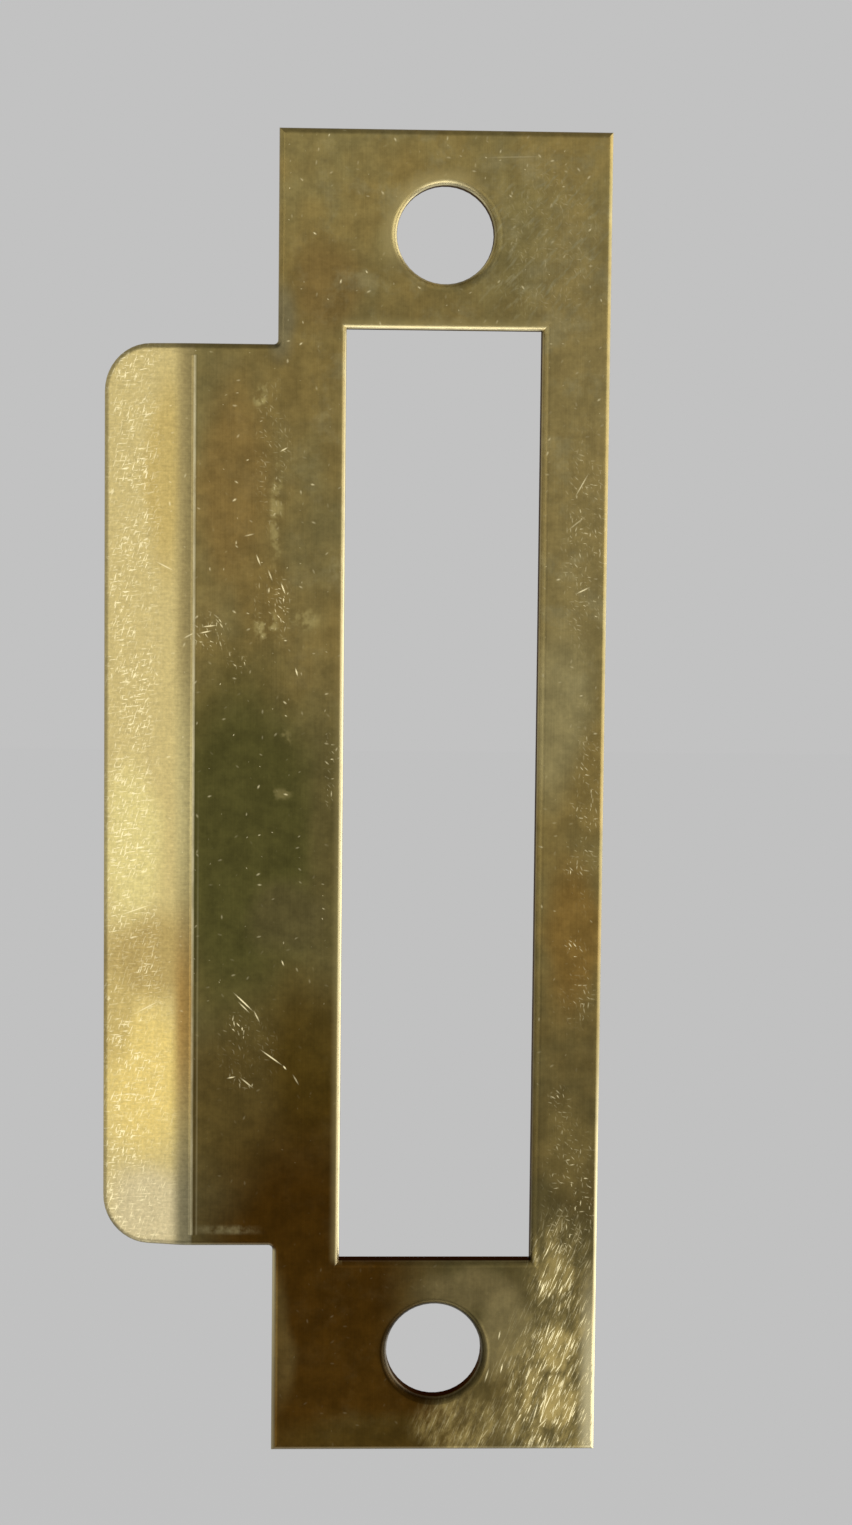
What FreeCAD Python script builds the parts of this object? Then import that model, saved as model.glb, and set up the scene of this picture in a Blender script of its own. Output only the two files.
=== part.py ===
import FreeCAD, Part
import math
import os
import Sketcher

# Strike plate for a mortise lock: one flat brass blank with an opening for the bolts, two screw
# holes and a lip that is bent back along a crease. It stands upright, as it is screwed to a jamb.
# Axes: +Z up the plate, -Y out of its face, -X along the lip.
# The origin is midway between the screws, on the seating face.

NODE = "strike_plate"

# Driving sizes, in millimetres and degrees
SIZES = (
    ("opening_height", 87.4, "bolt opening, along the plate"),
    ("opening_width", 18.1, "bolt opening, across the plate"),
    ("rail_width", 6.3, "metal on each side of the opening"),
    ("screw_land", 8.7, "end of the opening to the screw centre"),
    ("screw_end", 9.5, "screw centre to the end of the plate"),
    ("screw_diameter", 9.0, "plain screw hole"),
    ("plate_thickness", 2.4, "brass sheet"),
    ("lip_setback", 1.5, "end of the opening to the edge of the lip"),
    ("lip_flat", 7.65, "side of the plate to the crease"),
    ("flange_length", 7.0, "straight part of the lip past the bend"),
    ("bend_angle", 15.0, "how far the flange leans back"),
    ("bend_radius", 4.3, "inside of the bend"),
    ("lip_corner_radius", 4.4, "outer corners of the lip"),
    ("lip_root_radius", 0.4, "inner corners where the lip leaves the plate"),
    ("outline_round", 0.6, "soft front edge of the outline"),
    ("opening_round", 0.75, "soft front edge of the opening"),
    ("screw_round", 0.9, "soft front edge of the screw holes"),
    ("back_break", 0.2, "broken edges of the back"),
    ("crease_width", 0.56, "fine ridge along the crease"),
    ("crease_height", 0.055, "how far that ridge stands proud"),
    ("crease_inset", 1.1, "edge of the lip to the end of the ridge"),
)

# Sizes that follow from the driving ones
HALF_WIDTH = "(sizes.opening_width / 2 + sizes.rail_width)"
HALF_SPACING = "(sizes.opening_height / 2 + sizes.screw_land)"
PLATE_WIDTH = "2 * " + HALF_WIDTH
PLATE_LENGTH = "2 * (" + HALF_SPACING + " + sizes.screw_end)"
LIP_HEIGHT = "sizes.opening_height - 2 * sizes.lip_setback"
CREASE_PLACE = HALF_WIDTH + " + sizes.lip_flat"
CREASE_LENGTH = LIP_HEIGHT + " - 2 * sizes.crease_inset"
CREASE_RADIUS = "(sizes.crease_width ^ 2 / (8 * sizes.crease_height) + sizes.crease_height / 2)"
CREASE_DEPTH = "sizes.plate_thickness + sizes.crease_height - " + CREASE_RADIUS

NEAR = 1e-4  # places closer than this are one place
FACING = 0.8  # a face belongs to the front or the back if its normal has this much of Y

# Sketcher's numbers for its axes, counted down, and for the points of a line or an arc
X_AXIS, Y_AXIS = range(-1, -3, -1)
ORIGIN = X_AXIS
START, END, CENTRE = range(1, 4)

UP = FreeCAD.Vector(0, 0, 1)


def make_sheet(doc):
    """Fill the spreadsheet with the name, value and note of each driving size."""
    sheet = doc.addObject("Spreadsheet::Sheet", "sizes")
    for row, (name, value, note) in enumerate(SIZES, start=1):
        sheet.set("A%d" % row, name)
        sheet.set("B%d" % row, str(value))
        sheet.set("C%d" % row, note)
        sheet.setAlias("B%d" % row, name)
    doc.recompute()
    return {name: float(sheet.get(name)) for name, _, _ in SIZES}


# Sketches

def add_sketch(body, name, role):
    """Start a sketch on one of the body's own origin planes."""
    sketch = body.newObject("Sketcher::SketchObject", name)
    plane = next(f for f in body.Origin.OriginFeatures if f.Role == role)
    sketch.AttachmentSupport = [(plane, "")]
    sketch.MapMode = "FlatFace"
    return sketch


def relate(sketch, kind, *places):
    """Add a constraint that has no size."""
    sketch.addConstraint(Sketcher.Constraint(kind, *places))


def drive(sketch, name, expression, kind, *places):
    """Add a dimension, with its first value last in places, and bind it to the sheet."""
    index = sketch.addConstraint(Sketcher.Constraint(kind, *places))
    sketch.renameConstraint(index, name)
    sketch.setExpression("Constraints." + name, expression)


def add_line(sketch, start, end):
    """Draw a straight line between two points."""
    return sketch.addGeometry(Part.LineSegment(FreeCAD.Vector(*start), FreeCAD.Vector(*end)))


def add_circle(sketch, x, y, radius):
    """Draw a circle about a point."""
    return sketch.addGeometry(Part.Circle(FreeCAD.Vector(x, y), UP, radius))


def add_rectangle(sketch, width, height):
    """Draw a rectangle about the origin, with expressions for its sizes."""
    corners = [(-1, -1), (1, -1), (1, 1), (-1, 1)]
    sides = [add_line(sketch, *ends) for ends in zip(corners, corners[1:] + corners[:1])]
    bottom, right, top, left = sides
    for side, following in zip(sides, sides[1:] + sides[:1]):
        relate(sketch, "Coincident", side, END, following, START)
    for side in (bottom, top):
        relate(sketch, "Horizontal", side)
    for side in (left, right):
        relate(sketch, "Vertical", side)
    relate(sketch, "Symmetric", bottom, START, top, START, ORIGIN, START)
    drive(sketch, "width", width, "DistanceX", bottom, START, bottom, END, 2.0)
    drive(sketch, "height", height, "DistanceY", right, START, right, END, 2.0)


def draw_lip_section(sketch, size):
    """The lip seen from above: a flat strip, the bend, and the flange that leans back."""
    side = -(size["opening_width"] / 2 + size["rail_width"])
    bend = side - size["lip_flat"]
    thick = size["plate_thickness"]
    inner = size["bend_radius"]
    outer = inner + thick
    centre = FreeCAD.Vector(bend, inner)
    lean = FreeCAD.Rotation(UP, -size["bend_angle"])
    outward = lean.multVec(FreeCAD.Vector(0, -1))
    along = lean.multVec(FreeCAD.Vector(-1, 0)) * size["flange_length"]
    turn = math.radians(270 - size["bend_angle"]), math.radians(270)

    back = add_line(sketch, (side, 0), (bend, 0))
    back_bend = sketch.addGeometry(Part.ArcOfCircle(Part.Circle(centre, UP, inner), *turn))
    flange_back = add_line(sketch, centre + outward * inner, centre + outward * inner + along)
    tip = add_line(sketch, centre + outward * inner + along, centre + outward * outer + along)
    flange_front = add_line(sketch, centre + outward * outer + along, centre + outward * outer)
    front_bend = sketch.addGeometry(Part.ArcOfCircle(Part.Circle(centre, UP, outer), *turn))
    front = add_line(sketch, (bend, -thick), (side, -thick))
    root = add_line(sketch, (side, -thick), (side, 0))

    relate(sketch, "Tangent", back, END, back_bend, END)
    relate(sketch, "Tangent", back_bend, START, flange_back, START)
    relate(sketch, "Coincident", flange_back, END, tip, START)
    relate(sketch, "Coincident", tip, END, flange_front, START)
    relate(sketch, "Tangent", flange_front, END, front_bend, START)
    relate(sketch, "Tangent", front_bend, END, front, START)
    relate(sketch, "Coincident", front, END, root, START)
    relate(sketch, "Coincident", root, END, back, START)
    relate(sketch, "Coincident", back_bend, CENTRE, front_bend, CENTRE)
    relate(sketch, "Horizontal", back)
    relate(sketch, "Horizontal", front)
    relate(sketch, "Vertical", root)
    relate(sketch, "Parallel", flange_back, flange_front)
    relate(sketch, "Perpendicular", flange_back, tip)
    relate(sketch, "PointOnObject", back, START, X_AXIS)

    drive(sketch, "side", HALF_WIDTH, "DistanceX", back, START, ORIGIN, START, -side)
    drive(sketch, "flat", "sizes.lip_flat", "Distance", back, size["lip_flat"])
    drive(sketch, "thick", "sizes.plate_thickness", "Distance", root, thick)
    drive(sketch, "inside", "sizes.bend_radius", "Radius", back_bend, inner)
    drive(sketch, "flange", "sizes.flange_length", "Distance", flange_back, size["flange_length"])
    heading = 180 - size["bend_angle"]
    drive(sketch, "lean", "180 - sizes.bend_angle", "Angle", flange_back, math.radians(heading))


# Pads and cuts

def pad(doc, body, name, sketch, length, side_type):
    """Raise a sketch into a solid; the length is an expression."""
    feature = body.newObject("PartDesign::Pad", name)
    feature.Profile = sketch
    feature.SideType = side_type
    feature.setExpression("Length", length)
    doc.recompute()


def cut(doc, body, name, sketch):
    """Cut a sketch on the seating face right through to the front."""
    before = body.Shape.Volume
    pocket = body.newObject("PartDesign::Pocket", name)
    pocket.Profile = sketch
    pocket.Type = "ThroughAll"
    pocket.Reversed = True
    doc.recompute()
    if body.Shape.Volume >= before:
        raise RuntimeError(name + " cuts nothing")


def add_plate(doc, body):
    """The flat blank, with its back on the seating face."""
    sketch = add_sketch(body, "plate_outline", "XZ_Plane")
    add_rectangle(sketch, PLATE_WIDTH, PLATE_LENGTH)
    pad(doc, body, "plate", sketch, "sizes.plate_thickness", "One side")


def add_lip(doc, body, size):
    """The lip, as tall as the opening less a setback at each end."""
    sketch = add_sketch(body, "lip_section", "XY_Plane")
    draw_lip_section(sketch, size)
    pad(doc, body, "lip", sketch, LIP_HEIGHT, "Symmetric")


def cut_opening(doc, body):
    """The upright opening for the latch and the bolt."""
    sketch = add_sketch(body, "opening_outline", "XZ_Plane")
    add_rectangle(sketch, "sizes.opening_width", "sizes.opening_height")
    cut(doc, body, "opening", sketch)


def cut_screw_holes(doc, body):
    """One plain hole above the opening and one below it."""
    sketch = add_sketch(body, "screw_circles", "XZ_Plane")
    upper = add_circle(sketch, 0, 1, 1)
    lower = add_circle(sketch, 0, -1, 1)
    for circle in (upper, lower):
        relate(sketch, "PointOnObject", circle, CENTRE, Y_AXIS)
    relate(sketch, "Equal", upper, lower)
    drive(sketch, "above", HALF_SPACING, "DistanceY", ORIGIN, START, upper, CENTRE, 1.0)
    drive(sketch, "below", HALF_SPACING, "DistanceY", lower, CENTRE, ORIGIN, START, 1.0)
    drive(sketch, "bore", "sizes.screw_diameter", "Diameter", upper, 2.0)
    cut(doc, body, "screw_holes", sketch)


def add_crease(doc, body, size):
    """A fine round ridge along the start of the bend, most of it sunk in the face."""
    sketch = add_sketch(body, "crease_section", "XY_Plane")
    circle = add_circle(sketch, -1, -1, size["crease_width"])
    drive(sketch, "place", CREASE_PLACE, "DistanceX", circle, CENTRE, ORIGIN, START, 1.0)
    drive(sketch, "depth", CREASE_DEPTH, "DistanceY", circle, CENTRE, ORIGIN, START, 1.0)
    drive(sketch, "radius", CREASE_RADIUS, "Radius", circle, size["crease_width"])
    pad(doc, body, "crease", sketch, CREASE_LENGTH, "Symmetric")


# Rounded and broken edges

def rim_edges(shape, direction):
    """Edges where the faces that look in one direction along Y come to an end."""
    def looks(face):
        u_from, u_to, v_from, v_to = face.ParameterRange
        normal = face.normalAt((u_from + u_to) / 2, (v_from + v_to) / 2)
        return normal.y * direction > FACING
    inside = [edge for face in shape.Faces if looks(face) for edge in face.Edges]
    return [edge for edge in inside if sum(edge.isSame(other) for other in inside) == 1]


def dress(doc, body, kind, name, edges, size_property, alias):
    """Add a fillet or a chamfer to some edges of the body as it is so far."""
    base = body.Tip
    numbered = enumerate(base.Shape.Edges, start=1)
    names = ["Edge%d" % i for i, edge in numbered if any(edge.isSame(other) for other in edges)]
    if not names:
        raise RuntimeError(name + " finds no edge")
    feature = body.newObject(kind, name)
    feature.Base = (base, names)
    feature.setExpression(size_property, "sizes." + alias)
    doc.recompute()


def round_lip_corners(doc, body):
    """Large outer corners at the tip of the lip."""
    tip = min(body.Tip.Shape.Faces, key=lambda face: face.CenterOfMass.x)
    lowest, *_, highest = sorted(tip.Edges, key=lambda edge: edge.CenterOfMass.z)
    dress(doc, body, "PartDesign::Fillet", "lip_corners", [lowest, highest],
          "Radius", "lip_corner_radius")


def round_lip_roots(doc, body, size):
    """Small inner corners where the lip leaves the plate."""
    side = -(size["opening_width"] / 2 + size["rail_width"])
    level = size["opening_height"] / 2 - size["lip_setback"]

    def is_root(edge):
        middle = edge.CenterOfMass
        return abs(middle.x - side) < NEAR and abs(abs(middle.z) - level) < NEAR
    roots = [edge for edge in body.Tip.Shape.Edges if is_root(edge)]
    dress(doc, body, "PartDesign::Fillet", "lip_roots", roots, "Radius", "lip_root_radius")


def soften_front(doc, body, size):
    """Round over the front edges of the outline, the opening and the screw holes."""
    def is_screw(edge):
        return isinstance(edge.Curve, Part.Circle) and abs(edge.CenterOfMass.x) < NEAR

    def is_opening(edge):
        reach = max(abs(vertex.X) for vertex in edge.Vertexes)
        return not is_screw(edge) and reach < size["opening_width"] / 2 + NEAR

    def is_outline(edge):
        return not is_screw(edge) and not is_opening(edge)

    for name, wanted, alias in (
        ("outline_edge", is_outline, "outline_round"),
        ("opening_edge", is_opening, "opening_round"),
        ("screw_edges", is_screw, "screw_round"),
    ):
        rim = [edge for edge in rim_edges(body.Tip.Shape, -1) if wanted(edge)]
        dress(doc, body, "PartDesign::Fillet", name, rim, "Radius", alias)


def break_back(doc, body):
    """Take the sharpness off every edge of the back."""
    rim = rim_edges(body.Tip.Shape, 1)
    dress(doc, body, "PartDesign::Chamfer", "back_edges", rim, "Size", "back_break")


# Checks and the finished part

def check(doc, body):
    """Stop if any feature failed or the solid isn't sound."""
    for item in doc.Objects:
        if {"Invalid", "Error"} & set(item.State):
            raise RuntimeError("%s failed: %s" % (item.Name, item.State))
    shape = body.Shape
    if shape.isNull() or not shape.isValid() or len(shape.Solids) != 1:
        raise RuntimeError(body.Label + " is not one sound solid")


def main():
    doc = FreeCAD.newDocument("strike_plate")
    size = make_sheet(doc)
    body = doc.addObject("PartDesign::Body", "body")
    body.Label = NODE
    add_plate(doc, body)
    add_lip(doc, body, size)
    cut_opening(doc, body)
    cut_screw_holes(doc, body)
    round_lip_corners(doc, body)
    round_lip_roots(doc, body, size)
    soften_front(doc, body, size)
    break_back(doc, body)
    add_crease(doc, body, size)
    check(doc, body)
    os.makedirs("parts", exist_ok=True)
    body.Shape.exportStep("parts/%s.step" % body.Label)
    print("%s: %.1f cubic mm" % (body.Label, body.Shape.Volume))


main()
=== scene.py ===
import math

import bpy
from mathutils import Matrix, Vector


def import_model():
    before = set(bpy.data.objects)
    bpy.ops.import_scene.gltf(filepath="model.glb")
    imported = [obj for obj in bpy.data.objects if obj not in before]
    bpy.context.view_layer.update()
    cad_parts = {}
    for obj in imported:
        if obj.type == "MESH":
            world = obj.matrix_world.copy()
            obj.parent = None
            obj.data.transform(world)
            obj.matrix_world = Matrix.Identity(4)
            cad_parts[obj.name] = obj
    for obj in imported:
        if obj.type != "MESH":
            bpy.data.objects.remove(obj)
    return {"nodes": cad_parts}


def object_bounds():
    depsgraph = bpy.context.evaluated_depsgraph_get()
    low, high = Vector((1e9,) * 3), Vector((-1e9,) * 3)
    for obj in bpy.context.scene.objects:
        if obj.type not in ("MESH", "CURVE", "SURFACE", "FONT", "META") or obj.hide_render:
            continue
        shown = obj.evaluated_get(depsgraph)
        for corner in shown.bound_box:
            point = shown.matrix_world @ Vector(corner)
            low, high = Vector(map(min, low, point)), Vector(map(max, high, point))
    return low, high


# A worn brass strike plate in plain studio light. It stands upright as it is screwed to a jamb:
# +Z up the plate, -Y out of its face, the lip on -X. Lengths are metres, and the finish of the
# brass is laid out in millimetres.
#
# In the values below, a fade is where it starts and ends and what it is worth there, 0 and 1 if left
# out. A band is its place, the reach of its core, its whole reach, and its strength, 1 if left out.

MM = 0.001
NODE = "strike_plate"

# Camera: where it stands, how it is turned, and its lens, as fitted to the photograph
PHOTO_HEIGHT = 1525
SENSOR_MM = 36.0
FOCAL_PIXELS = 3209.0
CAMERA_PLACE = Vector((-14.87, -300.0, 29.52)) * MM
CAMERA_TURN = -0.04544
CAMERA_TILT = -0.08658
CAMERA_ROLL = -0.01066
CAMERA_CLIP = (0.01, 100.0)

# Studio: brightness of the walls, the ceiling and the floor, where 1 is white, and how far below the
# plate the floor lies and how wide it is
WALLS = 0.539
CEILING = 0.28
CEILING_FADE = (0.2, 0.8)
FLOOR_COLOUR = (0.12, 0.12, 0.12)
FLOOR_LIFT = 0.491
FLOOR_DROP = 0.6
FLOOR_REACH = 8.0

# Softboxes: heading and height in degrees, distance and size, and brightness
SOFTBOXES = (
    ("key", -32, -4, 0.8, (0.42, 0.95), 1.0),
    ("side", 105, -4, 0.8, (1.5, 0.95), 1.25),
    ("under", 0, -84, 0.26, (0.40, 0.17), 1.7),
)

# Parts of the plate that the finish follows, and which way its front and back face
CREASE = -23.0
CREASE_REACH = 41.1
OPENING_EDGE = -9.05
OPENING_REACH = 43.65
PLATE_EDGE = 15.35
UPPER_HOLE = (0.0, 52.4)
LOWER_HOLE = ((0.0, -52.4), (11.0, 11.0))
INSIDE = (9.5, 58.0)
INSIDE_FADE = 0.5
FLANGE_FADE = (CREASE - 0.1, CREASE + 0.15, 1.0, 0.0)
FRONT_FADE = (-0.35, -0.05, 1.0, 0.0)
BACK_FADE = (0.3, 0.7)

# Brass, from bare metal to dull brass, and colours of painted highlight and painted shade
# Brightest bare brass for scratches, flecks and strokes; on the crease ridge it is a painted highlight
GLINT = (1.0, 0.88, 0.52)
# Painted highlight on edges that face right or down, on the heel and on the left edge of the foot
EDGE_HIGHLIGHT = (0.88, 0.77, 0.44)
RUBBED = (0.55, 0.44, 0.182)
# The bend of the lip: painted shade where the sheet turns, in a paler, a warmer and a greyer tone down
# its length
BEND_SHADE = (0.35, 0.275, 0.112)
BEND_SHADE_PALE = (0.50, 0.42, 0.185)
BEND_SHADE_WARM = (0.37, 0.232, 0.068)
BEND_SHADE_GREY = (0.215, 0.185, 0.10)
# Polish, with painted highlight, on the rims beside the opening and round the upper hole
POLISH_AND_HIGHLIGHT = (0.62, 0.50, 0.21)
EDGE = (0.42, 0.33, 0.13)
AGED_OLIVE = (0.305, 0.242, 0.088)
AGED_GOLD = (0.345, 0.247, 0.077)
HAZE = (0.44, 0.375, 0.18)
SMEARED = (0.60, 0.49, 0.19)
DULL = (0.24, 0.175, 0.062)
# Painted shade, in the crease gutter and on the inner walls of the opening and holes
PAINTED_SHADE = (0.07, 0.048, 0.018)
GRAZED = (0.30, 0.22, 0.12)
WHITE = (1.0, 1.0, 1.0)

# Noise: size, detail and roughness
DRIFT_NOISE = ((9.0, 9.0, 12.0), 2.0, 0.5)
BLOTCH_NOISE = ((9.0, 9.0, 12.0), 3.0, 0.6)
CLOUD_NOISE = ((2.2, 2.2, 2.2), 3.0, 0.65)
HAZE_NOISE = ((3.2, 3.2, 3.2), 4.0, 0.7)
UPWARD_NOISE = ((0.14, 0.14, 6.0), 2.0, 0.5)
ACROSS_NOISE = ((1.1, 1.1, 0.18), 3.0, 0.6)
GRAIN_NOISE = ((0.32, 0.32, 0.32), 3.0, 0.6)
FOOT_NOISE = ((3.0, 1.2, 1.0), 5.0, 0.7)
STREAK_DETAIL = 2.0
STREAK_ROUGHNESS = 0.6

# Depth of the buffing lines and the grain, on the face and on the flange
UPWARD_DEPTH = (0.24, 0.15)
ACROSS_DEPTH = (0.14, 0.42)
GRAIN_DEPTH = (0.35, 0.6)

# Unevenness, gloss and relief
MOTTLE_FADE = (0.25, 0.75, 0.84, 1.17)
SIDES_FADE = (0.25, 0.75, 0.8, 1.2)
BACK_BLOTCH_FADE = (0.25, 0.75, 0.65, 1.3)
BACK_HAZE_FADE = (0.3, 0.7, 0.75, 1.2)
FACE_ROUGHNESS = (0.25, 0.75, 0.30, 0.38)
FLANGE_ROUGHNESS = 0.40
BACK_ROUGHNESS = 0.46
GLINT_SHARE = 0.9
FACET = (-0.24, 0.0, 0.0)
BUMP_STRENGTH = 0.5
BUMP_HEIGHT = 0.01 * MM

# Stains: centre and reach across and up the plate, colour and strength
FACE_STAINS = (
    ((11.5, 32.0), (7.0, 32.0), (0.43, 0.325, 0.12), 0.7),
    ((10.8, 8.0), (4.5, 11.0), (0.46, 0.38, 0.165), 0.8),
    ((-19.3, 29.5), (5.0, 12.0), (0.345, 0.225, 0.066), 0.9),
    ((-16.8, 19.0), (3.5, 6.0), (0.33, 0.225, 0.066), 0.8),
    ((-10.5, 48.0), (4.0, 5.5), (0.32, 0.21, 0.064), 0.8),
    ((-14.6, 44.6), (2.0, 5.0), (0.27, 0.235, 0.125), 0.7),
    ((12.4, -13.0), (3.5, 10.0), (0.345, 0.205, 0.048), 0.9),
    ((12.6, -33.0), (3.2, 6.0), (0.30, 0.22, 0.07), 0.7),
    ((-18.5, -4.5), (11.0, 24.0), (0.126, 0.112, 0.030), 1.0),
    ((-10.4, -4.0), (2.6, 20.0), (0.172, 0.136, 0.044), 0.8),
    # From here down, the dark brown stains low on the left are partly patina and partly painted shade, a
    # painted reflection of dark surroundings
    ((-16.5, -29.0), (13.0, 11.0), (0.145, 0.097, 0.024), 0.9),
    ((-14.2, -11.6), (4.5, 4.5), (0.172, 0.136, 0.050), 0.7),
    ((-12.0, -25.0), (5.0, 11.0), (0.103, 0.060, 0.007), 0.8),
    ((-12.0, -46.0), (14.5, 23.0), (0.075, 0.034, 0.004), 1.0),
    ((-7.0, -59.0), (13.0, 12.0), (0.086, 0.040, 0.005), 1.0),
    ((-14.6, -51.0), (2.2, 9.0), (0.17, 0.115, 0.035), 0.6),
    ((-5.0, -61.0), (12.0, 3.6), (0.100, 0.062, 0.012), 0.8),
    ((3.0, -46.8), (6.0, 2.2), (0.28, 0.215, 0.088), 0.6),
    ((6.4, -50.5), (3.2, 5.0), (0.36, 0.285, 0.12), 0.7),
)
FLANGE_STAINS = (
    ((-25.6, 30.0), (2.4, 12.0), (0.50, 0.37, 0.12), 0.8),
    ((-28.8, -4.0), (4.0, 10.0), (0.68, 0.58, 0.235), 0.8),
    ((-27.0, -15.0), (7.0, 6.0), (0.42, 0.305, 0.105), 0.9),
    ((-27.4, -26.5), (6.0, 10.0), (0.71, 0.54, 0.175), 0.9),
    ((-30.6, -21.0), (2.8, 6.0), (0.50, 0.375, 0.13), 0.8),
    ((-26.8, -39.0), (6.0, 5.0), (0.57, 0.48, 0.275), 0.9),
)
STAIN_CORE = 0.4
STAIN_DRIFT = 4.0

# Patches: centre and reach across and up the plate, and strength
SMEARS = (
    ((-14.6, 5.7), (1.0, 1.2), 0.35),
    ((-14.9, 0.6), (1.4, 0.7), 0.25),
    ((-16.3, 16.2), (1.4, 2.2), 0.80),
    ((-12.7, 16.9), (1.7, 1.3), 0.50),
    ((-17.0, 37.4), (0.9, 1.3), 0.90),
    ((-15.4, 26.5), (0.8, 6.5), 0.50),
)
WIPED = ((8.5, 52.0), (9.0, 11.0), 1.0)

# Single scratches: both ends across and up the plate, and strength
SCRATCHES = (
    ((-17.3, 23.0), (-16.8, 21.7), 0.8),
    ((-16.2, 21.6), (-15.7, 20.3), 0.7),
    ((-15.0, 20.4), (-14.5, 19.1), 1.0),
    ((-13.6, 12.5), (-13.3, 11.5), 0.9),
    ((-18.5, 24.5), (-17.3, 24.8), 0.5),
    ((-15.2, 32.3), (-14.3, 32.8), 0.8),
    ((-22.6, 15.5), (-21.2, 15.8), 0.8),
    ((-22.4, 16.1), (-20.7, 16.3), 0.8),
    ((-24.0, 15.0), (-22.9, 15.6), 0.7),
    ((-19.3, -17.9), (-17.1, -20.0), 1.0),
    ((-18.8, -18.8), (-17.5, -20.1), 0.7),
    ((-17.3, -19.6), (-16.6, -21.0), 0.7),
    ((-16.8, -23.3), (-14.3, -25.1), 0.9),
    ((-14.5, -24.9), (-14.1, -25.4), 1.0),
    ((-19.8, -26.2), (-18.8, -26.0), 0.8),
    ((-18.6, -26.0), (-17.1, -27.2), 0.7),
    ((-14.7, -14.9), (-14.4, -15.6), 0.8),
    ((-13.6, -25.7), (-12.9, -26.9), 0.5),
    ((-30.0, -11.1), (-26.6, -9.8), 0.7),
    ((-28.6, -20.4), (-25.8, -18.8), 0.6),
    ((-26.7, 22.2), (-24.7, 21.2), 0.6),
    ((3.2, 59.4), (9.3, 59.6), 0.22),
    ((12.1, 28.2), (13.6, 30.9), 0.7),
    ((11.4, 25.2), (13.4, 26.8), 0.5),
    ((12.3, 19.4), (13.9, 20.2), 0.9),
    ((11.1, -49.1), (10.4, -51.7), 1.0),
    ((6.6, -53.3), (6.3, -54.6), 1.0),
    ((5.3, -53.8), (4.8, -55.5), 0.7),
    ((9.3, -53.2), (8.6, -55.8), 0.8),
    ((10.9, -55.3), (10.4, -58.5), 1.0),
    ((10.1, -56.8), (9.4, -59.4), 0.9),
    ((6.3, -50.2), (6.1, -51.3), 0.8),
    ((12.1, -43.6), (11.4, -45.1), 0.9),
)
SCRATCH_WIDTH = 0.20
SCRATCH_CORE = 0.2

# More patches: scuffed places, and the rubbed foot of the plate with its brighter clumps
SCUFFS = (
    ((-21.4, 15.6), (2.4, 2.4), 0.9),
    ((-19.0, 12.8), (1.2, 2.2), 1.0),
    ((-10.3, 3.0), (0.7, 4.5), 0.8),
    ((12.6, -7.0), (1.3, 2.4), 1.0),
    ((12.9, -13.8), (1.5, 1.4), 1.0),
    ((11.6, -28.6), (1.4, 2.4), 1.0),
    ((-15.6, 18.2), (2.2, 4.2), 1.0),
    ((-17.6, -23.5), (3.6, 5.0), 0.2),
    ((-18.8, -21.8), (1.5, 2.4), 0.9),
    ((-18.2, -26.4), (2.4, 1.1), 0.9),
    ((-15.8, 32.0), (2.2, 9.0), 0.4),
    ((9.5, 51.0), (6.5, 10.0), 0.3),
    ((13.2, 24.0), (2.6, 13.0), 0.7),
    ((13.6, 0.0), (1.8, 12.0), 0.7),
    ((13.2, -18.0), (2.0, 4.0), 0.7),
    ((12.8, -37.0), (3.2, 9.0), 0.9),
)
FOOT_PATCHES = (
    ((14.0, -57.0), (10.5, 13.5), 1.00),
    ((11.8, -44.5), (4.0, 7.0), 0.75),
    ((12.8, -53.0), (2.6, 5.0), 1.00),
    ((2.8, -59.6), (6.0, 4.0), 0.75),
)
FOOT_CLUMPS = (
    ((11.6, -52.0), (2.4, 3.0), 0.20),
    ((8.8, -56.5), (2.6, 6.0), 0.05),
    ((11.9, -57.2), (2.6, 3.4), 0.18),
    ((11.3, -44.9), (2.2, 3.0), 0.16),
)
FOOT_SLANT = 68.0
FOOT_TONE = (0.72, 0.55, 0.195)

# Random strokes, with sizes in millimetres and angles in degrees
SPARSE_MARKS = dict(cell=1.2, length=0.55, width=0.25, heading=20.0, spread=88.0, share=0.55, seed=3.1)
DENSE_MARKS = dict(cell=0.45, length=0.8, width=0.17, heading=-50.0, spread=60.0, share=1.1, seed=7.7)
FOOT_MARKS = dict(cell=0.9, length=2.2, width=0.17, heading=FOOT_SLANT, spread=22.0, share=1.3, seed=13.9)
MARK_CORE = 0.1
MARK_EXTENTS = (0.3, 1.1)
WIPED_STREAKS = dict(slant=48.0, size=(1.7, 0.5), low=0.48, high=0.75)
FOOT_STREAKS = dict(slant=FOOT_SLANT, size=(2.0, 0.14), low=0.57, high=0.65)
FLECKS = dict(size=(0.9, 0.18), low=0.56, high=0.68)
FLECK_SLANTS = (72.0, 8.0)

# Tarnish and painted light: where the face is painted darker low down and brighter at the top, where it
# is hazy, and how the painted shade of the bend changes on its way down
GOLD_FADE = (0.35, 0.65)
LOW_SHADE = (-46.0, 4.0, 0.45, 1.0)
TOP_SHEEN = (44.0, 58.0, 1.0, 1.25)
HAZE_FADE = (0.48, 0.70, 0.0, 0.5)
HAZE_UP = (3.0, 18.0, 0.06, 1.0)
HAZE_ACROSS = (-17.0, -7.0, 0.15, 1.0)
LIP_FOOT_FADE = (0.3, 0.6, 0.0, 0.65)
LIP_FOOT_UP = (-40.6, 0.1, 0.6)
LIP_FOOT_ACROSS = (-19.6, 0.8, 3.9)
SMEAR_FADE = (0.44, 0.56)
BEND_SHADE_FADE = (CREASE - 2.2, CREASE - 0.9)
BEND_SHADE_PALE_BAND = (0.0, 2.0, 16.0)
BEND_SHADE_WARM_BAND = (-20.0, 1.0, 13.0)
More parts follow.
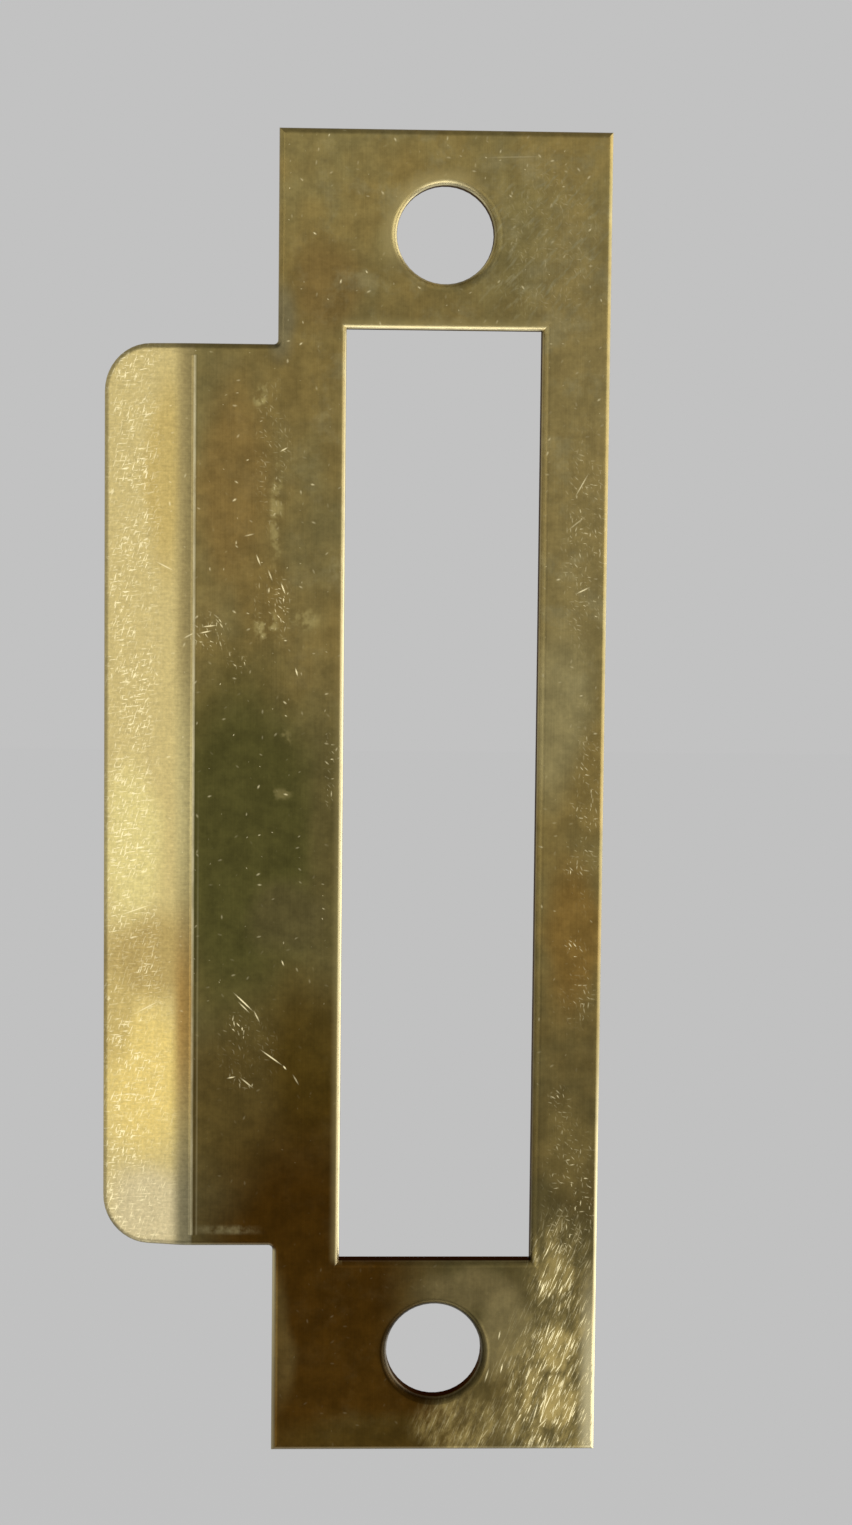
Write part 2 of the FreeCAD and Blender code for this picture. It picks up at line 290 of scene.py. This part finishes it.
BEND_SHADE_GREY_FADE = (-38.0, -29.0, 1.0, 0.0)

# Wear: where the random strokes show
SPARSE_FADE = (0.4, 0.6, 0.15, 0.75)
SPARSE_UP = (-40.0, 5.0, 0.12, 1.0)
DENSE_FADE = (0.38, 0.54)
FLECK_FADE = (0.40, 0.56, 0.25, 1.0)
FLECK_PLACE = -28.8
FLECK_CORE = 1.0
FLECK_REACH_UP = (-25.0, -12.0, 5.2, 3.4)
FOOT_TONE_FADE = (0.36, 0.78, 0.06, 0.95)
FOOT_STROKE_FADE = (0.42, 0.62, 0.3, 1.4)
FOOT_STROKE_ACROSS = (2.0, 10.0, 0.3, 1.0)

# The crease: its ridge as a painted highlight, and lower down a gutter of painted shade and a faint
# second painted highlight
CREASE_ALONG = (0.0, CREASE_REACH - 0.1, CREASE_REACH + 0.1)
CREASE_LOWER = (-15.0, 5.0, 1.0, 0.0)
RIDGE_BAND = (CREASE + 0.03, 0.05, 0.16)
RIDGE_FADE = (0.35, 0.65, 0.45, 0.75)
RIDGE_UP = (-25.0, 0.0, 0.55, 1.0)
GUTTER_BAND = (CREASE + 0.30, 0.03, 0.12, 0.45)
SECOND_BAND = (CREASE + 0.50, 0.03, 0.12, 0.10)

# Polish and painted highlight on rims: left of the opening, above it, and round the upper left of the
# upper hole
BESIDE_ACROSS = (OPENING_EDGE - 1.1, OPENING_EDGE - 0.2)
BESIDE_LIMIT = OPENING_EDGE + 0.3
BESIDE_ALONG = (0.0, OPENING_REACH - 0.5, OPENING_REACH + 0.5)
BESIDE_UP = (-5.0, 18.0, 0.4, 0.1)
ABOVE_UP = (OPENING_REACH + 0.3, OPENING_REACH + 1.4, 0.35, 0.0)
ABOVE_LIMIT = OPENING_REACH - 0.2
ABOVE_ALONG = (0.0, 9.2, 9.8)
RING_FADE = (4.9, 6.6, 0.6, 0.0)
RING_SIDE = (52.0, 57.0)

# Painted highlight on edges, by the way they face and where they lie
RIGHT_FACING = (0.3, 0.95)
RIGHT_ACROSS = (-8.0, 0.0, 1.0, 0.2)
RIGHT_UP = (5.0, 46.0, 1.0, 0.3)
RIGHT_LOW = (-40.0, -15.0, 1.0, 0.0)
DOWN_FACING = (-0.9, -0.3, 1.0, 0.0)
DOWN_UP = (-45.0, 20.0, 0.25, 1.0)
HEEL_ACROSS = (PLATE_EDGE - 1.9, PLATE_EDGE - 0.5)
HEEL_UP = (-54.0, -42.0, 0.85, 0.0)
SHIN_FACING = (-0.9, -0.3, 0.7, 0.0)
SHIN_UP = (-58.0, -44.0, 0.5, 1.0)
SHIN_TOP = (-42.8, -42.2, 1.0, 0.0)
SHIN_ACROSS = (-14.6, -14.0, 1.0, 0.0)
EDGE_HIGHLIGHT_FADE = (0.2, 0.6, 0.7, 1.0)
HOLE_CALM = 0.85

# Shaded edges, by the way they face and where they lie, and the lit lower walls of the openings
LEFT_SHADE = (-0.28, 0.05, 0.35, 0.45)
LEFT_SHADE_ACROSS = (CREASE + 0.6, CREASE + 1.2)
LEFT_SHADE_UP = (-45.0, -41.0)
DOWN_SHADE = (-0.5, -0.05, 0.6, 0.0)
DOWN_SHADE_UP = (-40.0, -30.0, 1.0, 0.0)
RIM_SHADE = (-0.998, -0.92, 0.0, 0.65)
LIT_WALLS = (0.12, 0.5, 1.0, 1.9)


class Nodes:
    """Adds nodes to one node tree; a value is a plain number, a tuple or another node's socket."""

    def __init__(self, tree):
        self.tree = tree
        tree.nodes.clear()

    def add(self, kind, **settings):
        node = self.tree.nodes.new(kind)
        for name, value in settings.items():
            setattr(node, name, value)
        return node

    def plug(self, socket, value):
        if isinstance(value, bpy.types.NodeSocket):
            self.tree.links.new(value, socket)
        else:
            socket.default_value = value

    def math(self, operation, *values):
        node = self.add("ShaderNodeMath", operation=operation)
        for socket, value in zip(node.inputs, values):
            self.plug(socket, value)
        return node.outputs[0]

    def product(self, first, *others):
        for value in others:
            first = self.math("MULTIPLY", first, value)
        return first

    def highest(self, first, *others):
        for value in others:
            first = self.math("MAXIMUM", first, value)
        return first

    def vector(self, operation, *values):
        node = self.add("ShaderNodeVectorMath", operation=operation)
        for socket, value in zip(node.inputs, values):
            self.plug(socket, value)
        return node.outputs["Value" if operation in ("DISTANCE", "LENGTH") else "Vector"]

    def scale(self, vector, factor):
        node = self.add("ShaderNodeVectorMath", operation="SCALE")
        self.plug(node.inputs["Vector"], vector)
        self.plug(node.inputs["Scale"], factor)
        return node.outputs["Vector"]

    def rotate(self, vector, angle):
        node = self.add("ShaderNodeVectorRotate", rotation_type="Z_AXIS")
        self.plug(node.inputs["Vector"], vector)
        self.plug(node.inputs["Angle"], angle)
        return node.outputs["Vector"]

    def split(self, vector):
        node = self.add("ShaderNodeSeparateXYZ")
        self.plug(node.inputs[0], vector)
        return list(node.outputs)

    def join(self, x, y, z):
        node = self.add("ShaderNodeCombineXYZ")
        for socket, value in zip(node.inputs, (x, y, z)):
            self.plug(socket, value)
        return node.outputs[0]

    def ease(self, value, low, high, at_low=0.0, at_high=1.0):
        node = self.add("ShaderNodeMapRange", interpolation_type="SMOOTHSTEP")
        for socket, number in zip(node.inputs, (value, low, high, at_low, at_high)):
            self.plug(socket, number)
        return node.outputs[0]

    def line(self, value, place, core, reach, strength=1.0):
        """The strength within core of a place, and 0 past its reach."""
        gap = self.math("ABSOLUTE", self.math("SUBTRACT", value, place))
        return self.ease(gap, core, reach, strength, 0.0)

    def mix(self, share, colour, other):
        node = self.add("ShaderNodeMix", data_type="RGBA")
        factor, first, second = (node.inputs[i] for i in (0, 6, 7))
        self.plug(factor, share)
        for socket, value in ((first, colour), (second, other)):
            self.plug(socket, (*value, 1.0) if isinstance(value, tuple) else value)
        return node.outputs[2]

    def mix_value(self, share, value, other):
        node = self.add("ShaderNodeMix", data_type="FLOAT")
        for index, number in zip((0, 2, 3), (share, value, other)):
            self.plug(node.inputs[index], number)
        return node.outputs[0]

    def add_noise(self, place, size, detail, roughness):
        node = self.add("ShaderNodeTexNoise")
        self.plug(node.inputs["Vector"], self.vector("DIVIDE", place, size))
        for name, value in (("Scale", 1.0), ("Detail", detail), ("Roughness", roughness)):
            self.plug(node.inputs[name], value)
        return node

    def noise(self, *pattern):
        return self.add_noise(*pattern).outputs["Fac"]

    def ripple(self, *pattern):
        """Noise that swings to both sides of 0."""
        return self.math("SUBTRACT", self.noise(*pattern), 0.5)

    def ripple_vector(self, *pattern):
        return self.vector("SUBTRACT", self.add_noise(*pattern).outputs["Color"], (0.5, 0.5, 0.5))


def make_camera(scene):
    data = bpy.data.cameras.new("camera")
    data.sensor_fit = "AUTO"
    data.sensor_width = SENSOR_MM
    data.lens = SENSOR_MM * FOCAL_PIXELS / PHOTO_HEIGHT
    data.clip_start, data.clip_end = CAMERA_CLIP
    camera = bpy.data.objects.new("camera", data)
    turn = Matrix.Rotation(CAMERA_TURN, 4, "Z")
    tilt = Matrix.Rotation(math.pi / 2 + CAMERA_TILT, 4, "X")
    roll = Matrix.Rotation(-CAMERA_ROLL, 4, "Z")
    camera.matrix_world = Matrix.Translation(CAMERA_PLACE) @ turn @ tilt @ roll
    scene.collection.objects.link(camera)
    scene.camera = camera


def make_world(scene):
    """Pale walls all round and a darker ceiling."""
    world = bpy.data.worlds.new("studio")
    world.use_nodes = True
    scene.world = world
    n = Nodes(world.node_tree)
    up = n.split(n.add("ShaderNodeTexCoord").outputs["Generated"])[2]
    background = n.add("ShaderNodeBackground")
    n.plug(background.inputs["Color"], n.mix(n.ease(up, *CEILING_FADE), (WALLS,) * 3, (CEILING,) * 3))
    n.plug(n.add("ShaderNodeOutputWorld").inputs["Surface"], background.outputs[0])


def add_softbox(scene, name, heading, height, distance, size, brightness):
    """A rectangular light that faces the plate; heading counts from the front towards +X."""
    data = bpy.data.lights.new(name, "AREA")
    data.shape = "RECTANGLE"
    data.size, data.size_y = size
    data.energy = brightness * math.pi * data.size * data.size_y
    light = bpy.data.objects.new(name, data)
    heading, height = math.radians(heading), math.radians(height)
    away = Vector((
        math.sin(heading) * math.cos(height),
        -math.cos(heading) * math.cos(height),
        math.sin(height),
    ))
    light.location = away * distance
    light.rotation_mode = "QUATERNION"
    light.rotation_quaternion = away.to_track_quat("Z", "Y")
    light.visible_camera = False
    scene.collection.objects.link(light)


def make_lights(scene):
    for softbox in SOFTBOXES:
        add_softbox(scene, *softbox)


def make_floor(scene, lowest):
    """A wide pale floor below the plate; its lift only shows, and lights nothing."""
    level = lowest - FLOOR_DROP
    corners = [(-1, -1), (1, -1), (1, 1), (-1, 1)]
    mesh = bpy.data.meshes.new("floor")
    mesh.from_pydata([(x * FLOOR_REACH, y * FLOOR_REACH, level) for x, y in corners], [],
                     [range(len(corners))])
    floor = bpy.data.objects.new("floor", mesh)
    scene.collection.objects.link(floor)

    material = bpy.data.materials.new("floor_paint")
    material.use_nodes = True
    mesh.materials.append(material)
    n = Nodes(material.node_tree)
    paint = n.add("ShaderNodeBsdfDiffuse")
    n.plug(paint.inputs["Color"], (*FLOOR_COLOUR, 1.0))
    path = n.add("ShaderNodeLightPath")
    rays = ("Is Camera Ray", "Is Glossy Ray", "Is Transmission Ray")
    seen = n.highest(*(path.outputs[ray] for ray in rays))
    lift = n.add("ShaderNodeEmission")
    n.plug(lift.inputs["Strength"], n.math("MULTIPLY", seen, FLOOR_LIFT))
    both = n.add("ShaderNodeAddShader")
    n.plug(both.inputs[0], paint.outputs[0])
    n.plug(both.inputs[1], lift.outputs[0])
    n.plug(n.add("ShaderNodeOutputMaterial").inputs["Surface"], both.outputs[0])


def spot(n, face, centre, reach, strength=1.0):
    """A soft round patch: its strength in the core and 0 past its reach."""
    scale = [1 / r for r in reach]
    shift = [-c / r for c, r in zip(centre, reach)]
    share = n.vector("LENGTH", n.vector("MULTIPLY_ADD", face, (*scale, 0.0), (*shift, 0.0)))
    return n.ease(share, STAIN_CORE, 1.0, strength, 0.0)


def spots(n, face, patches):
    return n.highest(*(spot(n, face, *patch) for patch in patches))


def stained(n, spread, colour, stains):
    for centre, reach, tint, strength in stains:
        colour = n.mix(spot(n, spread, centre, reach, strength), colour, tint)
    return colour


def scratches(n, face):
    """The single scratches that stand out, each a slim pointed stroke."""
    drawn = []
    for start, end, strength in SCRATCHES:
        run = Vector(end) - Vector(start)
        stroke = n.add("ShaderNodeMapping", vector_type="TEXTURE")
        n.plug(stroke.inputs["Vector"], face)
        n.plug(stroke.inputs["Location"], (*((Vector(start) + Vector(end)) / 2), 0.0))
        n.plug(stroke.inputs["Rotation"], (0.0, 0.0, math.atan2(run.y, run.x)))
        n.plug(stroke.inputs["Scale"], (run.length / 2, SCRATCH_WIDTH / 2, 1.0))
        drawn.append(n.ease(n.vector("LENGTH", stroke.outputs[0]), SCRATCH_CORE, 1.0, strength, 0.0))
    return n.highest(*drawn)


def marks(n, face, cell, length, width, heading, spread, share, seed):
    """A stroke in a share of the cells of a random pattern."""
    scaled = n.vector("MULTIPLY_ADD", face, (1 / cell,) * 3, (seed, 2.0 * seed, 0.0))
    cells = n.add("ShaderNodeTexVoronoi", voronoi_dimensions="2D")
    n.plug(cells.inputs["Vector"], scaled)
    n.plug(cells.inputs["Scale"], 1.0)
    pick, turn, extent = n.split(cells.outputs["Color"])
    angle = n.math("MULTIPLY_ADD", turn, math.radians(2 * spread), math.radians(-heading - spread))
    offset = n.rotate(n.vector("SUBTRACT", scaled, cells.outputs["Position"]), angle)
    offset = n.vector("MULTIPLY", offset, (2 * cell / length, 2 * cell / width, 0.0))
    extent = n.ease(extent, 0.0, 1.0, *MARK_EXTENTS)
    stroke = n.ease(n.vector("LENGTH", offset), MARK_CORE, extent, 1.0, 0.0)
    return n.math("MULTIPLY", stroke, n.ease(pick, 0.0, share, 1.0, 0.0))


def streaks(n, face, slant, size, low, high):
    """Uneven streaks of one slant, by their length and width."""
    turned = n.rotate(face, math.radians(-slant))
    return n.ease(n.noise(turned, (*size, 1.0), STREAK_DETAIL, STREAK_ROUGHNESS), low, high)


def tarnish_and_painted_light(n, place, face, x, z, flange, blotch, haze, cloud):
    """The colour before it is worn: two tones of aged brass on the face, painted shade low down and a
    painted sheen at the top, a rubbed flange with painted shade along its bend, and stains.
    """
    drift = n.ripple_vector(place, *DRIFT_NOISE)
    spread = n.vector("MULTIPLY_ADD", drift, (STAIN_DRIFT, STAIN_DRIFT, 0.0), face)
    colour = n.mix(n.ease(blotch, *GOLD_FADE), AGED_OLIVE, AGED_GOLD)
    # Painted shade: darker towards the bottom; painted sheen: brighter at the top
    colour = n.scale(colour, n.product(n.ease(z, *LOW_SHADE), n.ease(z, *TOP_SHEEN)))
    colour = stained(n, spread, colour, FACE_STAINS)

    hazy = n.product(n.ease(haze, *HAZE_FADE), n.ease(z, *HAZE_UP), n.ease(x, *HAZE_ACROSS))
    wiped = n.product(streaks(n, face, **WIPED_STREAKS), spot(n, spread, *WIPED))
    lip_foot = n.product(
        n.line(x, *LIP_FOOT_ACROSS),
        n.line(z, *LIP_FOOT_UP),
        n.ease(haze, *LIP_FOOT_FADE),
    )
    colour = n.mix(n.highest(hazy, wiped, lip_foot), colour, HAZE)
    smeared = n.product(spots(n, face, SMEARS), n.ease(cloud, *SMEAR_FADE))
    colour = n.mix(smeared, colour, SMEARED)

    # Painted shade along the bend of the lip, paler, warmer and greyer down its length
    bend_shade = n.mix(n.line(z, *BEND_SHADE_PALE_BAND), BEND_SHADE, BEND_SHADE_PALE)
    bend_shade = n.mix(n.line(z, *BEND_SHADE_WARM_BAND), bend_shade, BEND_SHADE_WARM)
    bend_shade = n.mix(n.ease(z, *BEND_SHADE_GREY_FADE), bend_shade, BEND_SHADE_GREY)
    rubbed = stained(n, spread, RUBBED, FLANGE_STAINS)
    rubbed = n.mix(n.ease(x, *BEND_SHADE_FADE), rubbed, bend_shade)
    return n.mix(flange, colour, rubbed)


def wear_marks(n, face, x, z, flange, haze, cloud):
    """Scratches and flecks where the aged surface is broken."""
    sparse = marks(n, face, **SPARSE_MARKS)
    sparse = n.product(sparse, n.ease(haze, *SPARSE_FADE), n.ease(z, *SPARSE_UP))
    dense = marks(n, face, **DENSE_MARKS)
    dense = n.product(dense, spots(n, face, SCUFFS), n.ease(cloud, *DENSE_FADE))
    flecks = n.highest(*(streaks(n, face, slant, **FLECKS) for slant in FLECK_SLANTS))
    flecks = n.product(
        flecks,
        n.ease(haze, *FLECK_FADE),
        flange,
        n.line(x, FLECK_PLACE, FLECK_CORE, n.ease(z, *FLECK_REACH_UP)),
    )
    return n.highest(scratches(n, face), sparse, dense, flecks)


def rub_foot(n, face, x, colour):
    """The foot of the plate, rubbed along one slant: its colour and its bright strokes."""
    foot = spots(n, face, FOOT_PATCHES)
    slanted = n.rotate(face, math.radians(-FOOT_SLANT))
    rubbing = n.math("ADD", n.noise(slanted, *FOOT_NOISE), spots(n, face, FOOT_CLUMPS))
    colour = n.mix(n.product(foot, n.ease(rubbing, *FOOT_TONE_FADE)), colour, FOOT_TONE)
    strokes = n.product(
        n.highest(marks(n, face, **FOOT_MARKS), streaks(n, face, **FOOT_STREAKS)),
        foot,
        n.ease(rubbing, *FOOT_STROKE_FADE),
        n.ease(x, *FOOT_STROKE_ACROSS),
    )
    return colour, n.math("MINIMUM", strokes, 1.0)


def draw_crease(n, x, z, colour, haze):
    """A painted highlight along the ridge, with painted shade in a gutter beside it and a faint second
    painted highlight, low down.
    """
    along = n.line(z, *CREASE_ALONG)
    lower = n.product(along, n.ease(z, *CREASE_LOWER))
    ridge = n.product(n.line(x, *RIDGE_BAND), along, n.ease(haze, *RIDGE_FADE), n.ease(z, *RIDGE_UP))
    second = n.product(n.line(x, *SECOND_BAND), lower)
    gutter = n.product(n.line(x, *GUTTER_BAND), lower)
    return n.mix(gutter, n.mix(n.highest(ridge, second), colour, GLINT), PAINTED_SHADE)


def polish_and_highlight_rims(n, face, x, z, colour):
    """Rims that latch and screw have polished, brightened further by a painted highlight."""
    beside = n.product(
        n.ease(x, *BESIDE_ACROSS),
        n.math("LESS_THAN", x, BESIDE_LIMIT),
        n.line(z, *BESIDE_ALONG),
        n.ease(z, *BESIDE_UP),
    )
    above = n.product(
        n.ease(z, *ABOVE_UP),
        n.math("GREATER_THAN", z, ABOVE_LIMIT),
        n.line(x, *ABOVE_ALONG),
    )
    from_hole = n.vector("DISTANCE", face, (*UPPER_HOLE, 0.0))
    ring = n.product(n.ease(from_hole, *RING_FADE), n.ease(n.math("SUBTRACT", z, x), *RING_SIDE))
    return n.mix(n.highest(beside, above, ring), colour, POLISH_AND_HIGHLIGHT)


def highlight_edges(n, x, z, outward, front, by_lower_hole, colour, cloud):
    """Painted highlight on edges: those that face right or down, the heel, and the left edge of the foot.
    """
    out_x, _, out_z = outward
    rightward = n.highest(
        n.product(n.ease(x, *RIGHT_ACROSS), n.ease(z, *RIGHT_UP)),
        n.ease(z, *RIGHT_LOW),
    )
    highlit = n.highest(
        n.product(n.ease(out_x, *RIGHT_FACING), rightward),
        n.product(n.ease(out_z, *DOWN_FACING), n.ease(z, *DOWN_UP)),
    )
    calm = n.math("MULTIPLY_ADD", by_lower_hole, -HOLE_CALM, 1.0)
    highlit = n.product(highlit, calm, n.ease(cloud, *EDGE_HIGHLIGHT_FADE))
    heel = n.product(n.ease(x, *HEEL_ACROSS), n.ease(z, *HEEL_UP))
    shin = n.product(
        n.ease(out_x, *SHIN_FACING),
        n.ease(z, *SHIN_UP),
        n.ease(z, *SHIN_TOP),
        n.ease(x, *SHIN_ACROSS),
    )
    return n.mix(n.product(n.highest(highlit, heel, shin), front), colour, EDGE_HIGHLIGHT)


def shade_edges(n, x, z, outward, inside, by_lower_hole, colour):
    """Edges that stay dark on the left, low down and at the lower hole, and lit inner walls."""
    out_x, out_y, out_z = outward
    left = n.product(
        n.line(out_x, *LEFT_SHADE),
        n.ease(x, *LEFT_SHADE_ACROSS),
        n.ease(z, *LEFT_SHADE_UP),
    )
    low = n.product(n.ease(out_z, *DOWN_SHADE), n.ease(z, *DOWN_SHADE_UP))
    rim = n.product(by_lower_hole, n.ease(out_y, *RIM_SHADE))
    colour = n.scale(colour, n.math("SUBTRACT", 1.0, n.highest(left, low, rim)))
    return n.scale(colour, n.ease(n.math("MULTIPLY", out_z, inside), *LIT_WALLS))


def make_brass():
    material = bpy.data.materials.new("worn_brass")
    material.use_nodes = True
    n = Nodes(material.node_tree)
    place = n.vector("MULTIPLY", n.add("ShaderNodeTexCoord").outputs["Object"], (1 / MM,) * 3)
    x, _, z = n.split(place)
    face = n.join(x, z, 0.0)
    normal = n.add("ShaderNodeNewGeometry").outputs["Normal"]
    outward = n.split(normal)
    out_y = outward[1]

    # Which part of the plate this is
    front = n.ease(out_y, *FRONT_FADE)
    back = n.ease(out_y, *BACK_FADE)
    flange = n.ease(x, *FLANGE_FADE)
    inside = n.product(*(
        n.line(value, 0.0, reach, reach + INSIDE_FADE) for value, reach in zip((x, z), INSIDE)
    ))
    by_lower_hole = spot(n, face, *LOWER_HOLE)

    blotch = n.noise(place, *BLOTCH_NOISE)
    cloud = n.noise(place, *CLOUD_NOISE)
    haze = n.noise(place, *HAZE_NOISE)
    colour = tarnish_and_painted_light(n, place, face, x, z, flange, blotch, haze, cloud)
    colour = n.scale(colour, n.mix_value(flange, n.ease(cloud, *MOTTLE_FADE), 1.0))

    # Buffing lines up the plate, finer ones across it that are stronger on the flange, and grain
    upward = n.ripple(place, *UPWARD_NOISE)
    across = n.ripple(place, *ACROSS_NOISE)
    grain = n.ripple(place, *GRAIN_NOISE)
    lines = n.math("MULTIPLY_ADD", upward, n.mix_value(flange, *UPWARD_DEPTH), 1.0)
    lines = n.math("MULTIPLY_ADD", across, n.mix_value(flange, *ACROSS_DEPTH), lines)
    colour = n.scale(colour, n.math("MULTIPLY_ADD", grain, n.mix_value(flange, *GRAIN_DEPTH), lines))

    # Worn marks and polish, with painted highlight and painted shade at the crease, the rims and the
    # edges
    colour, strokes = rub_foot(n, face, x, colour)
    worn = n.product(n.highest(wear_marks(n, face, x, z, flange, haze, cloud), strokes), front)
    colour = n.mix(n.product(worn, GLINT_SHARE), colour, GLINT)
    colour = draw_crease(n, x, z, colour, haze)
    colour = polish_and_highlight_rims(n, face, x, z, colour)
    colour = highlight_edges(n, x, z, outward, front, by_lower_hole, colour, cloud)
    colour = shade_edges(n, x, z, outward, inside, by_lower_hole, colour)

    # Sheared sides, with painted shade inside the opening and the holes, and a dull back
    sides = n.scale(n.mix(inside, EDGE, PAINTED_SHADE), n.ease(cloud, *SIDES_FADE))
    uneven = n.product(n.ease(blotch, *BACK_BLOTCH_FADE), n.ease(haze, *BACK_HAZE_FADE), lines)
    colour = n.mix(back, n.mix(front, sides, colour), n.scale(DULL, uneven))

    shader = n.add("ShaderNodeBsdfPrincipled")
    shader.inputs["Metallic"].default_value = 1.0
    n.plug(shader.inputs["Base Color"], colour)
    n.plug(shader.inputs["Specular Tint"], n.mix(front, GRAZED, WHITE))
    rough = n.mix_value(flange, n.ease(cloud, *FACE_ROUGHNESS), FLANGE_ROUGHNESS)
    n.plug(shader.inputs["Roughness"], n.mix_value(back, rough, BACK_ROUGHNESS))
    facet = n.scale(FACET, n.product(worn, n.math("SUBTRACT", 1.0, flange)))
    bump = n.add("ShaderNodeBump")
    n.plug(bump.inputs["Normal"], n.vector("NORMALIZE", n.vector("ADD", normal, facet)))
    n.plug(bump.inputs["Strength"], BUMP_STRENGTH)
    n.plug(bump.inputs["Distance"], BUMP_HEIGHT)
    n.plug(bump.inputs["Height"], lines)
    n.plug(shader.inputs["Normal"], bump.outputs[0])
    n.plug(n.add("ShaderNodeOutputMaterial").inputs["Surface"], shader.outputs[0])
    return material


def main():
    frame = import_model()
    cad_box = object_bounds()
    scene = bpy.context.scene
    scene.view_settings.view_transform = "Standard"
    make_camera(scene)
    make_world(scene)
    make_lights(scene)
    make_floor(scene, cad_box[0].z)
    plate = frame["nodes"][NODE]
    brass = make_brass()
    for slot in plate.material_slots:
        slot.material = brass


main()
